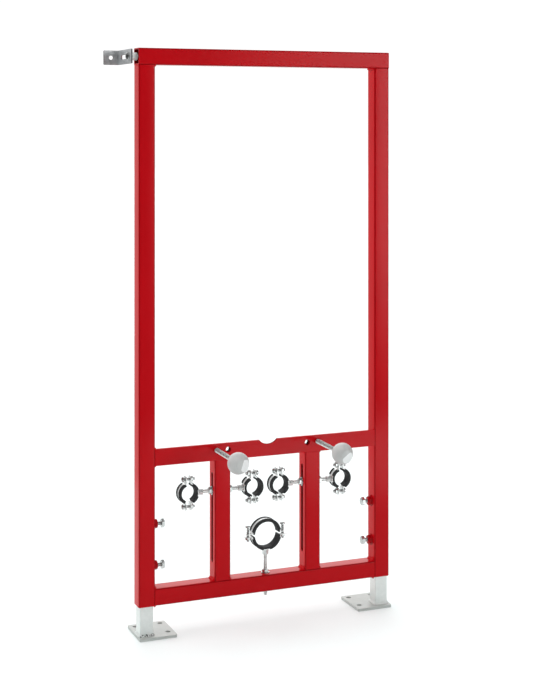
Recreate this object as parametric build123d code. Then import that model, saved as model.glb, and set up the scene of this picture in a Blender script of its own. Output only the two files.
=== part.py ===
"""Support frame for a wall-hung bidet: a welded frame of square tube on telescopic legs.

Axes: X across the frame, Y from front to back, Z up. The origin lies on the floor, midway
between the feet and at the centre of the four inner anchor holes. All sizes in millimetres.
"""

import math
import os

from build123d import *

# Welded frame of square tube
FRAME_WIDTH = 570.0
FRAME_HEIGHT = 1145.0
TUBE_SIZE = 35.0
TUBE_WALL = 3.0
TUBE_CORNER = 3.0
INNER_CORNER = 0.6

# Legs that telescope in the posts, each on a foot plate
LEG_CLEARANCE = 0.3
LEG_WALL = 2.5
LEG_CORNER = 2.0
LEG_LENGTH = 390.0
LEG_SHOWING = 60.0
FOOT_WIDTH = 80.0
FOOT_DEPTH = 90.0
FOOT_THICKNESS = 6.0
FOOT_CORNER = 3.0
FOOT_OUTER_MARGIN = 4.0
FOOT_FRONT_MARGIN = 14.0
FOOT_HOLE = 11.0
FOOT_HOLE_INSET = 13.0
FOOT_HOLE_PITCH = 54.0

# Screws that clamp the legs, in bosses on the posts' inner faces
LEG_SCREW_HEIGHTS = (79.0, 164.0)
LEG_SCREW = 8.0
LEG_SCREW_HEX = 16.0
LEG_SCREW_HEAD = 6.0
LEG_SCREW_STANDOFF = 9.0
BOSS_HEX = 17.0
BOSS_LENGTH = 9.0

# Flat cross plate that carries the bidet
CROSS_BOTTOM = 287.0
CROSS_HEIGHT = 35.0
CROSS_THICKNESS = 5.0
NOTCH_CHORD = 41.0
NOTCH_DEPTH = 10.0
FIXING_DROP = 14.0
FIXING_HOLE = 11.5
ROD_SPACING = 230.0
HOLE_SPACING = 180.0
FIXING_NUT_HEX = 22.0
FIXING_NUT_HEIGHT = 8.0

# Threaded fixing rods with ball caps
FIXING_ROD = 10.0
ROD_TAIL = 8.0
CAP_REACH = 124.0
CAP_DIAMETER = 44.0
CAP_BORE_DEPTH = 26.0
CAP_COLLAR = 18.0
CAP_COLLAR_LENGTH = 4.0
CAP_NOSE = 20.0

# Stiles between the cross plate and the bottom rail, slotted for the pipe clamps
STILE_SPACING = (ROD_SPACING + HOLE_SPACING) / 2
SLOT_WIDTH = 9.0
SLOT_MARGIN_BOTTOM = 36.0
SLOT_MARGIN_TOP = 28.0

# Pipe clamps: sprung strap halves, rubber lining, two screws
STRAP_WIDTH = 17.0
STRAP_THICKNESS = 1.5
STRAP_BEND = 2.0
EAR_LENGTH = 14.5
EAR_CORNER = 5.0
LINER_WIDTH = 20.0
LINER_THICKNESS = 3.8
LINER_LIP = 1.1
LINER_HOOK = 1.5
LINER_CLEARANCE = 0.1
CLAMP_SCREW = 6.0
CLAMP_SCREW_HEX = 10.0
CLAMP_SCREW_HEAD = 4.0
CLAMP_SCREW_NUT = 5.0
CLAMP_SCREW_TAIL = 4.0
CLAMP_BOSS_HEX = 12.0
CLAMP_BOSS_LENGTH = 11.0
CLAMP_ROD = 8.0
ROD_NUT_HEX = 13.0
ROD_NUT_HEIGHT = 6.5
ROD_WASHER = 18.0
ROD_WASHER_THICKNESS = 1.6

SUPPLY_HEIGHT = 221.0
SUPPLY_BORE = 32.0
SUPPLY_SPLIT = 9.0
SUPPLY_BARE = 3.0
SUPPLY_HEAD_GAP = 4.0
OUTER_OFFSET = 174.0
INNER_OFFSET = 30.0

WASTE_HEIGHT = 118.0
WASTE_BORE = 54.0
WASTE_SPLIT = 5.0
WASTE_BARE = 0.5
WASTE_HEAD_GAP = 13.0
WASTE_ROD_TAIL = 6.0

# Slotted wall bracket at the top rail's left end
BRACKET_STANDOFF = 14.0
BRACKET_THICKNESS = 3.0
BRACKET_HEIGHT = 30.0
BRACKET_FRONT = 20.0
BRACKET_BACK = 78.0
BRACKET_BEND = 3.0
BRACKET_CORNER = 2.0
BRACKET_SLOT_LENGTH = 64.0
BRACKET_SLOT_FRONT = 9.0
BRACKET_SLOT_WIDTH = 9.0
TAB_WIDTH = 34.5
TAB_HOLE = 9.0
BRACKET_BOLT = 8.0
BOLT_HEAD = 17.0
BOLT_HEAD_HEIGHT = 5.0
BOLT_SOCKET = 8.0
BRACKET_NUT_HEX = 17.0
BRACKET_NUT_HEIGHT = 9.0
END_PLATE_THICKNESS = 5.0
END_PLATE_DEPTH = 20.0

# Clearances: sliding faces, a thread in its nut, a shank in its hole, a piece in a tube
SLIDE_GAP = 0.3
THREAD_GAP = 0.1
SHANK_GAP = 0.3
INSERT_GAP = 0.2

# Distance below which two places count as one
SAME_PLACE = 1e-3

# Places worked out from the sizes above
LEG_SIZE = TUBE_SIZE - 2 * TUBE_WALL - 2 * LEG_CLEARANCE
BASE = FOOT_THICKNESS + LEG_SHOWING
TOP = BASE + FRAME_HEIGHT
FOOT_BACK = FOOT_HOLE_PITCH / 2 + FOOT_HOLE_INSET
FOOT_Y = FOOT_BACK - FOOT_DEPTH / 2
TUBE_Y = FOOT_BACK - FOOT_DEPTH + FOOT_FRONT_MARGIN + LEG_SIZE / 2
FRONT_Y = TUBE_Y - TUBE_SIZE / 2
POST_X = (FRAME_WIDTH - TUBE_SIZE) / 2
CLEAR_WIDTH = FRAME_WIDTH - 2 * TUBE_SIZE
FOOT_X = POST_X + LEG_SIZE / 2 + FOOT_OUTER_MARGIN - FOOT_WIDTH / 2
CROSS_TOP = BASE + CROSS_BOTTOM + CROSS_HEIGHT
FIXING_Z = CROSS_TOP - FIXING_DROP
STILE_X = STILE_SPACING / 2
SUPPLY_Z = BASE + SUPPLY_HEIGHT
WASTE_Z = BASE + WASTE_HEIGHT
RAIL_Z = TOP - TUBE_SIZE / 2


def square_tube(size, wall, corner, length):
    """Square tube along Z, standing on Z = 0."""
    inner_corner = max(corner - wall, INNER_CORNER)
    outer = RectangleRounded(size, size, corner)
    inner = RectangleRounded(size - 2 * wall, size - 2 * wall, inner_corner)
    return extrude(outer - inner, length)


def frame_tube(length):
    return square_tube(TUBE_SIZE, TUBE_WALL, TUBE_CORNER, length)


def along_x(shape):
    """Turns a shape made along +Z so that it runs along +X."""
    return Rot(0, 90, 0) * shape


def along_y(shape):
    """Turns a shape made along +Z so that it runs along +Y."""
    return Rot(-90, 0, 0) * shape


def rod(diameter, length):
    return extrude(Circle(diameter / 2), length)


def hexagon(across_flats, length):
    outline = RegularPolygon(across_flats / 2, 6, major_radius=False, rotation=30)
    return extrude(outline, length)


def hex_nut(across_flats, height, thread):
    return hexagon(across_flats, height) - rod(thread + 2 * THREAD_GAP, height)


def top_rail():
    return Pos(-FRAME_WIDTH / 2, TUBE_Y, RAIL_Z) * along_x(frame_tube(FRAME_WIDTH))


def post(side):
    """One post, with the holes where its leg screws pass the inner wall."""
    tube = Pos(side * POST_X, TUBE_Y, BASE) * frame_tube(FRAME_HEIGHT - TUBE_SIZE)
    for height in LEG_SCREW_HEIGHTS:
        hole = along_x(rod(LEG_SCREW + 2 * SHANK_GAP, TUBE_SIZE / 2))
        if side > 0:
            hole = Pos(-TUBE_SIZE / 2, 0, 0) * hole
        tube -= Pos(side * POST_X, TUBE_Y, BASE + height) * hole
    return tube


def bottom_rail():
    """Rail between the posts, drilled for the rod of the waste clamp."""
    tube = Pos(-CLEAR_WIDTH / 2, TUBE_Y, BASE + TUBE_SIZE / 2) * along_x(frame_tube(CLEAR_WIDTH))
    return tube - Pos(0, TUBE_Y, BASE) * rod(CLAMP_ROD + 2 * SHANK_GAP, TUBE_SIZE)


def fixing_positions(spacing):
    return [Pos(side * spacing / 2, FRONT_Y, FIXING_Z) for side in (-1, 1)]


def cross_plate():
    """Flat bar flush with the posts' fronts, with a round notch for the tap's hoses."""
    middle = Pos(0, FRONT_Y + CROSS_THICKNESS / 2, BASE + CROSS_BOTTOM + CROSS_HEIGHT / 2)
    plate = middle * Box(CLEAR_WIDTH, CROSS_THICKNESS, CROSS_HEIGHT)
    notch_radius = (NOTCH_CHORD**2 / 4 + NOTCH_DEPTH**2) / (2 * NOTCH_DEPTH)
    notch = along_y(rod(2 * notch_radius, CROSS_THICKNESS))
    plate -= Pos(0, FRONT_Y, CROSS_TOP + notch_radius - NOTCH_DEPTH) * notch
    for place in fixing_positions(ROD_SPACING) + fixing_positions(HOLE_SPACING):
        plate -= place * along_y(rod(FIXING_HOLE, CROSS_THICKNESS))
    return plate


def fixing_nuts():
    """Weld nuts behind the cross plate, at the rods and at the free holes."""
    nut = along_y(hex_nut(FIXING_NUT_HEX, FIXING_NUT_HEIGHT, FIXING_ROD))
    places = fixing_positions(ROD_SPACING) + fixing_positions(HOLE_SPACING)
    return Compound([place * (Pos(0, CROSS_THICKNESS, 0) * nut) for place in places])


def stile(side):
    """Upright with a long slot through both side walls."""
    height = CROSS_BOTTOM - TUBE_SIZE
    slot_length = height - SLOT_MARGIN_BOTTOM - SLOT_MARGIN_TOP
    slot = extrude(SlotOverall(slot_length, SLOT_WIDTH), TUBE_SIZE / 2, both=True)
    slot = Pos(0, 0, SLOT_MARGIN_BOTTOM + slot_length / 2) * (Rot(0, 90, 0) * slot)
    return Pos(side * STILE_X, TUBE_Y, BASE + TUBE_SIZE) * (frame_tube(height) - slot)


def fixing_rod(place):
    """Threaded rod from behind its nut to the bottom of the cap's bore."""
    back = CROSS_THICKNESS + FIXING_NUT_HEIGHT + ROD_TAIL
    reach = CAP_REACH - CAP_DIAMETER / 2 - CAP_COLLAR_LENGTH + CAP_BORE_DEPTH
    return place * (Pos(0, back, 0) * (Rot(90, 0, 0) * rod(FIXING_ROD, back + reach)))


def rod_cap(place):
    """Ball with a flat nose, a short collar on its rod side and a blind bore."""
    radius, collar, nose = CAP_DIAMETER / 2, CAP_COLLAR / 2, CAP_NOSE / 2
    collar_end = radius + CAP_COLLAR_LENGTH
    bore = FIXING_ROD / 2 + THREAD_GAP
    collar_root = math.sqrt(radius**2 - collar**2)
    nose_end = -math.sqrt(radius**2 - nose**2)
    bore_end = collar_end - CAP_BORE_DEPTH - SLIDE_GAP
    with BuildSketch() as outline:
        with BuildLine():
            Polyline((bore, collar_end), (collar, collar_end), (collar, collar_root))
            ThreePointArc((collar, collar_root), (radius, 0), (nose, nose_end))
            Polyline((nose, nose_end), (0, nose_end), (0, bore_end), (bore, bore_end), (bore, collar_end))
        make_face()
    ball = revolve(outline.sketch, Axis.Y)
    return place * (Pos(0, -CAP_REACH, 0) * ball)


def leg_screw_places(side):
    """Points on the post's inner face, turned so that +Z looks away from the post."""
    inner_face = side * (POST_X - TUBE_SIZE / 2)
    return [Pos(inner_face, TUBE_Y, BASE + h) * Rot(0, -90 * side, 0) for h in LEG_SCREW_HEIGHTS]


def screw_bosses(side):
    boss = hex_nut(BOSS_HEX, BOSS_LENGTH, LEG_SCREW)
    return Compound([place * boss for place in leg_screw_places(side)])


def leg_screws(side):
    """Hex screws whose tips stop just short of the leg."""
    tip = -TUBE_WALL
    head = BOSS_LENGTH + LEG_SCREW_STANDOFF
    screw = Pos(0, 0, tip) * rod(LEG_SCREW, head - tip)
    screw += Pos(0, 0, head) * hexagon(LEG_SCREW_HEX, LEG_SCREW_HEAD)
    return Compound([place * screw for place in leg_screw_places(side)])


def leg_tube(side):
    tube = square_tube(LEG_SIZE, LEG_WALL, LEG_CORNER, LEG_LENGTH)
    return Pos(side * POST_X, TUBE_Y, FOOT_THICKNESS) * tube


def foot_plate(side):
    """Plate with three anchor holes: the leg stands on the fourth corner."""
    plate = extrude(RectangleRounded(FOOT_WIDTH, FOOT_DEPTH, FOOT_CORNER), FOOT_THICKNESS)
    plate = Pos(side * FOOT_X, FOOT_Y, 0) * plate
    across, along = FOOT_WIDTH / 2 - FOOT_HOLE_INSET, FOOT_HOLE_PITCH / 2
    for x, y in ((-1, -1), (-1, 1), (1, 1)):
        plate -= Pos(side * (FOOT_X + x * across), y * along, 0) * rod(FOOT_HOLE, FOOT_THICKNESS)
    return plate


class PipeClamp:
    """Rubber-lined clamp round the Y axis: base half towards +X with its threaded boss.

    The split parts the two strap halves, the rubber stops short of their ends by the bare
    length, and the screws' heads stand off the ears by the head gap until a pipe is clamped.
    """

    def __init__(self, bore, split, bare, head_gap):
        self.bore = bore / 2
        self.strap_start = split / 2
        self.liner_start = split / 2 + bare
        self.head_gap = head_gap
        self.inner = self.bore + LINER_THICKNESS
        self.outer = self.inner + STRAP_THICKNESS
        self.ear_middle = self.outer + EAR_LENGTH / 2
        self.boss_end = self.outer + CLAMP_BOSS_LENGTH

    def strap_half(self):
        """Half ring with a bent ear at each end, on the +X side of the split."""
        ear_tip = self.outer + EAR_LENGTH
        start = self.strap_start
        far = start + STRAP_THICKNESS
        ring = Circle(self.outer) - Circle(self.inner)
        half = ring & (Pos(start + self.outer, 0) * Rectangle(2 * self.outer, 3 * self.outer))
        ear_root = self.inner
        ear = Rectangle(STRAP_THICKNESS, ear_tip - ear_root)
        for way in (-1, 1):
            half += Pos((start + far) / 2, way * (ear_root + ear_tip) / 2) * ear
        faced = [v for v in half.vertices() if abs(v.X - far) < SAME_PLACE]
        half = fillet([v for v in faced if abs(v.Y) < ear_tip - SAME_PLACE], STRAP_BEND)
        strap = extrude(Plane.XZ * half, STRAP_WIDTH / 2, both=True)
        tips = [e for e in strap.edges().filter_by(Axis.X) if abs(abs(e.center().Z) - ear_tip) < SAME_PLACE]
        strap = fillet(tips, EAR_CORNER)
        for way in (-1, 1):
            hole = along_x(rod(CLAMP_SCREW + 2 * SHANK_GAP, 2 * self.outer))
            strap -= Pos(0, 0, way * self.ear_middle) * hole
        return strap

    def base(self):
        """Strap half with a hexagon boss welded to its crown."""
        start = self.inner - STRAP_THICKNESS
        boss = Pos(start, 0, 0) * along_x(hexagon(CLAMP_BOSS_HEX, self.boss_end - start))
        boss -= along_y(Pos(0, 0, -STRAP_WIDTH) * rod(2 * self.inner, 2 * STRAP_WIDTH))
        thread = rod(CLAMP_ROD + 2 * THREAD_GAP, CLAMP_BOSS_LENGTH)
        return self.strap_half() + boss - Pos(self.outer, 0, 0) * along_x(thread)

    def cap(self):
        return mirror(self.strap_half(), Plane.YZ)

    def liner_half(self):
        """Rubber channel: a band inside the strap and lips hooked over its edges."""
        half_strap, half_liner = STRAP_WIDTH / 2 + LINER_CLEARANCE, LINER_WIDTH / 2
        band_outer = self.inner - LINER_CLEARANCE
        seat = self.outer + LINER_CLEARANCE
        tip = seat + LINER_LIP
        hook = STRAP_WIDTH / 2 - LINER_HOOK
        band = Rectangle(band_outer - self.bore, LINER_WIDTH)
        band = revolve(Pos((band_outer + self.bore) / 2, 0) * band, Axis.Y)
        lips = []
        for way in (-1, 1):
            side = Polygon(
                (self.bore, way * half_strap), (seat, way * half_strap), (seat, way * hook),
                (tip, way * hook), (tip, way * half_liner), (self.bore, way * half_liner),
                align=None,
            )
            lips.append(revolve(side, Axis.Y))
        band = band & self.beyond(self.liner_start)
        lip_start = self.strap_start + STRAP_THICKNESS + STRAP_BEND + LINER_LIP
        return band + [lip & self.beyond(lip_start) for lip in lips]

    def beyond(self, x):
        """Block that holds what lies further than x from the split."""
        size = 4 * self.outer
        return Pos(x + size / 2, 0, 0) * Box(size, size, size)

    def liner(self):
        half = self.liner_half()
        return Compound([half, mirror(half, Plane.YZ)])

    def screws(self):
        """Two hex screws across the ears, each with its nut on the base's ear."""
        ear = self.strap_start + STRAP_THICKNESS
        head, end = -ear - self.head_gap, ear + CLAMP_SCREW_NUT + CLAMP_SCREW_TAIL
        screw = Pos(0, 0, head) * rod(CLAMP_SCREW, end - head)
        screw += Pos(0, 0, head - CLAMP_SCREW_HEAD) * hexagon(CLAMP_SCREW_HEX, CLAMP_SCREW_HEAD)
        screw += Pos(0, 0, ear) * hexagon(CLAMP_SCREW_HEX, CLAMP_SCREW_NUT)
        return [Pos(0, 0, way * self.ear_middle) * along_x(screw) for way in (-1, 1)]


def rod_nut():
    """Hex nut on a washer, standing on Z = 0."""
    washer = rod(ROD_WASHER, ROD_WASHER_THICKNESS)
    nut = washer + Pos(0, 0, ROD_WASHER_THICKNESS) * hexagon(ROD_NUT_HEX, ROD_NUT_HEIGHT)
    return nut - rod(CLAMP_ROD + 2 * THREAD_GAP, ROD_WASHER_THICKNESS + ROD_NUT_HEIGHT)


def supply_clamps(side):
    """Outer and inner clamp on one rod through a stile's slots, as node name to shape."""
    name = "left" if side < 0 else "right"
    away = 0 if side < 0 else 180
    clamp = PipeClamp(SUPPLY_BORE, SUPPLY_SPLIT, SUPPLY_BARE, SUPPLY_HEAD_GAP)
    outer_place = Pos(side * OUTER_OFFSET, TUBE_Y, SUPPLY_Z) * Rot(0, 0, away)
    inner_place = Pos(side * INNER_OFFSET, TUBE_Y, SUPPLY_Z) * Rot(0, 0, 180 - away)
    pieces = {}
    screws = []
    for label, place in (("outer", outer_place), ("inner", inner_place)):
        pieces[f"{name}_{label}_clamp_base"] = place * clamp.base()
        pieces[f"{name}_{label}_clamp_cap"] = place * clamp.cap()
        pieces[f"{name}_{label}_clamp_liner"] = place * clamp.liner()
        screws += [place * screw for screw in clamp.screws()]
    pieces[f"{name}_clamp_screws"] = Compound(screws)
    start = OUTER_OFFSET - clamp.outer - SLIDE_GAP
    end = INNER_OFFSET + clamp.outer + SLIDE_GAP
    middle = Pos(side * (start + end) / 2, TUBE_Y, SUPPLY_Z)
    bar = extrude(Circle(CLAMP_ROD / 2), (start - end) / 2, both=True)
    pieces[f"{name}_clamp_rod"] = middle * along_x(bar)
    nuts = []
    for way in (-1, 1):
        face = Pos(side * STILE_X + way * (TUBE_SIZE / 2 + SLIDE_GAP), TUBE_Y, SUPPLY_Z)
        nuts.append(face * (Rot(0, 90 * way, 0) * rod_nut()))
    pieces[f"{name}_rod_nuts"] = Compound(nuts)
    return pieces


def waste_clamp():
    """Large clamp on an upright rod through the bottom rail, as node name to shape."""
    clamp = PipeClamp(WASTE_BORE, WASTE_SPLIT, WASTE_BARE, WASTE_HEAD_GAP)
    place = Pos(0, TUBE_Y, WASTE_Z) * Rot(0, 90, 0)
    rod_top = WASTE_Z - clamp.outer - SLIDE_GAP
    rod_end = BASE - WASTE_ROD_TAIL
    return {
        "waste_clamp_base": place * clamp.base(),
        "waste_clamp_cap": place * clamp.cap(),
        "waste_clamp_liner": place * clamp.liner(),
        "waste_clamp_screws": Compound([place * screw for screw in clamp.screws()]),
        "waste_clamp_rod": Pos(0, TUBE_Y, rod_end) * rod(CLAMP_ROD, rod_top - rod_end),
        "waste_rod_nut": Pos(0, TUBE_Y, BASE + TUBE_SIZE) * rod_nut(),
    }


def wall_bracket():
    """Angle strap: a slotted leg beside the rail's end and a tab against the wall."""
    inner_x = -FRAME_WIDTH / 2 - BRACKET_STANDOFF
    outer_x = inner_x - BRACKET_THICKNESS
    front, back = TUBE_Y - BRACKET_FRONT, TUBE_Y + BRACKET_BACK
    tab_x = outer_x - TAB_WIDTH + BRACKET_THICKNESS
    with BuildSketch() as outline:
        with BuildLine():
            Polyline(
                (inner_x, front), (inner_x, back), (tab_x, back),
                (tab_x, back - BRACKET_THICKNESS), (outer_x, back - BRACKET_THICKNESS),
                (outer_x, front), (inner_x, front),
            )
        make_face()
        bend = outline.vertices().sort_by_distance((inner_x, back))[0]
        fillet(bend, BRACKET_BEND)
    strap = extrude(outline.sketch, BRACKET_HEIGHT / 2, both=True)
    ends = [e for e in strap.edges().filter_by(Axis.X) if abs(e.center().Y - front) < SAME_PLACE]
    ends += [e for e in strap.edges().filter_by(Axis.Y) if abs(e.center().X - tab_x) < SAME_PLACE]
    strap = fillet(ends, BRACKET_CORNER)
    slot = extrude(SlotOverall(BRACKET_SLOT_LENGTH, BRACKET_SLOT_WIDTH), BRACKET_THICKNESS, both=True)
    slot_y = TUBE_Y - BRACKET_SLOT_FRONT + BRACKET_SLOT_LENGTH / 2
    slot = Rot(0, 90, 0) * Rot(0, 0, 90) * slot
    strap -= Pos(outer_x + BRACKET_THICKNESS / 2, slot_y, 0) * slot
    hole = along_y(rod(TAB_HOLE, BRACKET_THICKNESS))
    strap -= Pos((tab_x + outer_x) / 2, back - BRACKET_THICKNESS, 0) * hole
    return Pos(0, 0, RAIL_Z) * strap


def bracket_fixings():
    """Bolt, lock nut and the threaded plate in the rail's end, as node name to shape."""
    mouth = -FRAME_WIDTH / 2
    strap_inner = mouth - BRACKET_STANDOFF
    head_face = strap_inner - BRACKET_THICKNESS - SLIDE_GAP
    plate_end = mouth + END_PLATE_DEPTH + END_PLATE_THICKNESS
    axis = Pos(0, TUBE_Y, RAIL_Z)
    head_end = head_face - BOLT_HEAD_HEIGHT
    bolt = Pos(head_face, 0, 0) * along_x(rod(BRACKET_BOLT, plate_end - head_face))
    bolt += Pos(head_end, 0, 0) * along_x(rod(BOLT_HEAD, BOLT_HEAD_HEIGHT))
    bolt -= Pos(head_end, 0, 0) * along_x(hexagon(BOLT_SOCKET, BOLT_HEAD_HEIGHT / 2))
    nut = along_x(hex_nut(BRACKET_NUT_HEX, BRACKET_NUT_HEIGHT, BRACKET_BOLT))
    inside = TUBE_SIZE - 2 * TUBE_WALL - 2 * INSERT_GAP
    plate = extrude(RectangleRounded(inside, inside, TUBE_WALL), END_PLATE_THICKNESS)
    plate -= rod(BRACKET_BOLT + 2 * THREAD_GAP, END_PLATE_THICKNESS)
    return {
        "bracket_bolt": axis * bolt,
        "bracket_nut": axis * (Pos(strap_inner + SLIDE_GAP, 0, 0) * nut),
        "rail_end_plate": axis * (Pos(mouth + END_PLATE_DEPTH, 0, 0) * along_x(plate)),
    }


def pieces():
    """Every piece of the frame, as node name to shape."""
    made = {
        "top_rail": top_rail(),
        "bottom_rail": bottom_rail(),
        "cross_plate": cross_plate(),
        "fixing_nuts": fixing_nuts(),
        "wall_bracket": wall_bracket(),
    }
    for name, side in (("left", -1), ("right", 1)):
        place = Pos(side * ROD_SPACING / 2, FRONT_Y, FIXING_Z)
        made[f"{name}_post"] = post(side)
        made[f"{name}_stile"] = stile(side)
        made[f"{name}_fixing_rod"] = fixing_rod(place)
        made[f"{name}_rod_cap"] = rod_cap(place)
        made[f"{name}_screw_bosses"] = screw_bosses(side)
        made[f"{name}_leg_screws"] = leg_screws(side)
        made[f"{name}_leg_tube"] = leg_tube(side)
        made[f"{name}_foot_plate"] = foot_plate(side)
        made.update(supply_clamps(side))
    made.update(waste_clamp())
    made.update(bracket_fixings())
    return made


os.makedirs("parts", exist_ok=True)
for node, shape in pieces().items():
    export_step(shape, f"parts/{node}.step")
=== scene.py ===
import math

import bmesh
import bpy
import numpy as np
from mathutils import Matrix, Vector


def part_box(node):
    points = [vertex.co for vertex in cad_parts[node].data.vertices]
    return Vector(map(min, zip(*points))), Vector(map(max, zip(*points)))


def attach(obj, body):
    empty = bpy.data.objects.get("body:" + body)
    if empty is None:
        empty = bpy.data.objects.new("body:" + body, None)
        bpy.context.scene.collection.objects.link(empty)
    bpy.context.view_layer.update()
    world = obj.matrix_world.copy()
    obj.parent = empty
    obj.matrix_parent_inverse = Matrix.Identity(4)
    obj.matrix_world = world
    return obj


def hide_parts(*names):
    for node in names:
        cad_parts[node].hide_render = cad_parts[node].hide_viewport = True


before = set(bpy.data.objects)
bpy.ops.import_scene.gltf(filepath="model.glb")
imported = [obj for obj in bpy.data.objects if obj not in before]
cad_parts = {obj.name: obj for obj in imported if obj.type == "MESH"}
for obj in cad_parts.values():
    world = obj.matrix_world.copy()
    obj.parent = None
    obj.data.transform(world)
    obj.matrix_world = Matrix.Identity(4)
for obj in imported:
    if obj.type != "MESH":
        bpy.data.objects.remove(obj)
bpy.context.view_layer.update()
print("frame loaded,", len(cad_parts), "nodes")

mm = 0.001
turn = 2 * math.pi
mergeGap = 0.002 * mm  # points nearer than this become one
solidGap = 0.01 * mm   # solids of a node stand further apart than this
sides = {"left": -1, "right": 1}
alongX, alongY, alongZ = np.eye(3)


# Mesh tools: a surface is a pair, points and the four-sided faces between them

def gridSurface(points, closed=True):
    # rows x columns of points; neighbouring rows and columns span a face, the last column meets the first
    rows, columns = points.shape[:2]
    i, j = np.meshgrid(np.arange(rows - 1), np.arange(columns if closed else columns - 1), indexing="ij")
    after = (j + 1) % columns
    faces = np.stack([i * columns + j, (i + 1) * columns + j, (i + 1) * columns + after, i * columns + after], -1)
    return points.reshape(-1, 3), faces.reshape(-1, 4)


def carried(points, origin, axis, aside=None):
    # points made along +Z, set at origin with +Z turned to axis and +X to aside
    axis = np.asarray(axis, float)
    if aside is None:
        aside = alongZ if abs(axis[2]) < 0.5 else alongX
    third = np.cross(axis, aside)
    return np.asarray(origin) + points[..., :1] * aside + points[..., 1:2] * third + points[..., 2:] * axis


def makePiece(name, surfaces, material, body, nodes=(), crease=38):
    # joins the surfaces in one mesh, merges seams and poles, and turns every closed shell outwards
    starts = np.cumsum([0] + [len(points) for points, _ in surfaces])
    points = np.concatenate([points for points, _ in surfaces])
    faces = np.concatenate([faces + start for (_, faces), start in zip(surfaces, starts)])
    mesh = bpy.data.meshes.new(name)
    mesh.from_pydata(points.tolist(), [], faces.tolist())
    shape = bmesh.new()
    shape.from_mesh(mesh)
    bmesh.ops.remove_doubles(shape, verts=shape.verts, dist=mergeGap)
    bmesh.ops.recalc_face_normals(shape, faces=shape.faces)
    shape.to_mesh(mesh)
    shape.free()
    return finishPiece(name, mesh, material, body, nodes, crease)


def finishPiece(name, mesh, material, body, nodes, crease):
    # smooth faces, parted where they meet at more than the crease
    mesh.polygons.foreach_set("use_smooth", np.ones(len(mesh.polygons), bool))
    mesh.set_sharp_from_angle(angle=math.radians(crease))
    mesh.materials.clear()
    mesh.materials.append(material)
    piece = bpy.data.objects.new(name, mesh)
    bpy.context.scene.collection.objects.link(piece)
    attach(piece, body)
    if nodes:
        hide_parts(*nodes)
    return piece


def faceArray(mesh, what):
    values = np.empty(3 * len(mesh.polygons))
    mesh.polygons.foreach_get(what, values)
    return values.reshape(-1, 3)


def setFinishes(mesh, numbers):
    # for each face, the number of its material on the mesh
    mesh.polygons.foreach_set("material_index", np.asarray(numbers).astype(np.int32))


def boxOf(node):
    return tuple(np.array(corner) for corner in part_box(node))


def boxEnd(low, high, axis, away=1):
    # middle of the end of a box from which a piece that points away along the axis starts
    start = (low + high) / 2
    start[axis] = low[axis] if away > 0 else high[axis]
    return start


def solidBoxes(node, axis):
    # a node's solids in a row: sorted along the axis, its triangles are parted where none of them bridges a gap
    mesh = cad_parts[node].data
    points = np.empty(3 * len(mesh.vertices))
    mesh.vertices.foreach_get("co", points)
    corners = np.empty(len(mesh.loops), np.int32)
    mesh.loops.foreach_get("vertex_index", corners)
    triangles = points.reshape(-1, 3)[corners.reshape(-1, 3)]
    starts, ends = triangles[..., axis].min(1), triangles[..., axis].max(1)
    order = np.argsort(starts)
    cuts = np.flatnonzero(starts[order][1:] > np.maximum.accumulate(ends[order])[:-1] + solidGap) + 1
    return [(group.min((0, 1)), group.max((0, 1))) for group in np.split(triangles[order], cuts)]


def revolved(profile, columns=48):
    # profile of (radius, height) pairs turned round +Z
    profile = np.asarray(profile, float)
    angle = np.linspace(0, turn, columns, endpoint=False)
    radius, height = profile[:, :1], np.repeat(profile[:, 1:], columns, 1)
    return np.stack([radius * np.cos(angle), radius * np.sin(angle), height], -1)


def arcPoints(centre, radius, start, end, count):
    angle = np.radians(np.linspace(start, end, count))
    return np.stack([centre[0] + radius * np.cos(angle), centre[1] + radius * np.sin(angle)], -1)


def ringWays(steps):
    # angles once round, the last equal to the first, and the direction in the XY plane at each
    angle = np.linspace(0, turn, steps + 1)
    return angle, np.stack([np.cos(angle), np.sin(angle), 0 * angle], -1)


# Materials: node trees on Object coordinates; a noise is given as cells to the metre and detail

noiseSpan = (0.3, 0.7)  # most of a noise's values lie between these


def newMaterial(name, **sockets):
    material = bpy.data.materials.new(name)
    material.use_nodes = True
    shader = material.node_tree.nodes["Principled BSDF"]
    for socket, value in sockets.items():
        shader.inputs[socket.replace("_", " ")].default_value = value
    return material, material.node_tree, shader


def addNode(tree, kind, **values):
    # a value goes to the socket of its name, or else to the node's own setting
    node = tree.nodes.new(kind)
    for key, value in values.items():
        if key in node.inputs:
            node.inputs[key].default_value = value
        else:
            setattr(node, key, value)
    return node


def joined(tree, operation, *values):
    # math node on numbers and sockets
    node = addNode(tree, "ShaderNodeMath", operation=operation)
    for socket, value in zip(node.inputs, values):
        if isinstance(value, float):
            socket.default_value = value
        else:
            tree.links.new(value, socket)
    return node.outputs["Value"]


def objectNoise(tree, scale, detail, stretch=(1, 1, 1)):
    where = addNode(tree, "ShaderNodeTexCoord")
    mapping = addNode(tree, "ShaderNodeMapping", Scale=stretch)
    noise = addNode(tree, "ShaderNodeTexNoise", Scale=scale, Detail=detail)
    tree.links.new(where.outputs["Object"], mapping.inputs["Vector"])
    tree.links.new(mapping.outputs["Vector"], noise.inputs["Vector"])
    return noise.outputs["Fac"]


def cells(tree, scale):
    # one value to each cell
    where = addNode(tree, "ShaderNodeTexCoord")
    voronoi = addNode(tree, "ShaderNodeTexVoronoi", Scale=scale)
    split = addNode(tree, "ShaderNodeSeparateColor")
    tree.links.new(where.outputs["Object"], voronoi.inputs["Vector"])
    tree.links.new(voronoi.outputs["Color"], split.inputs["Color"])
    return split.outputs["Red"]


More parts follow.
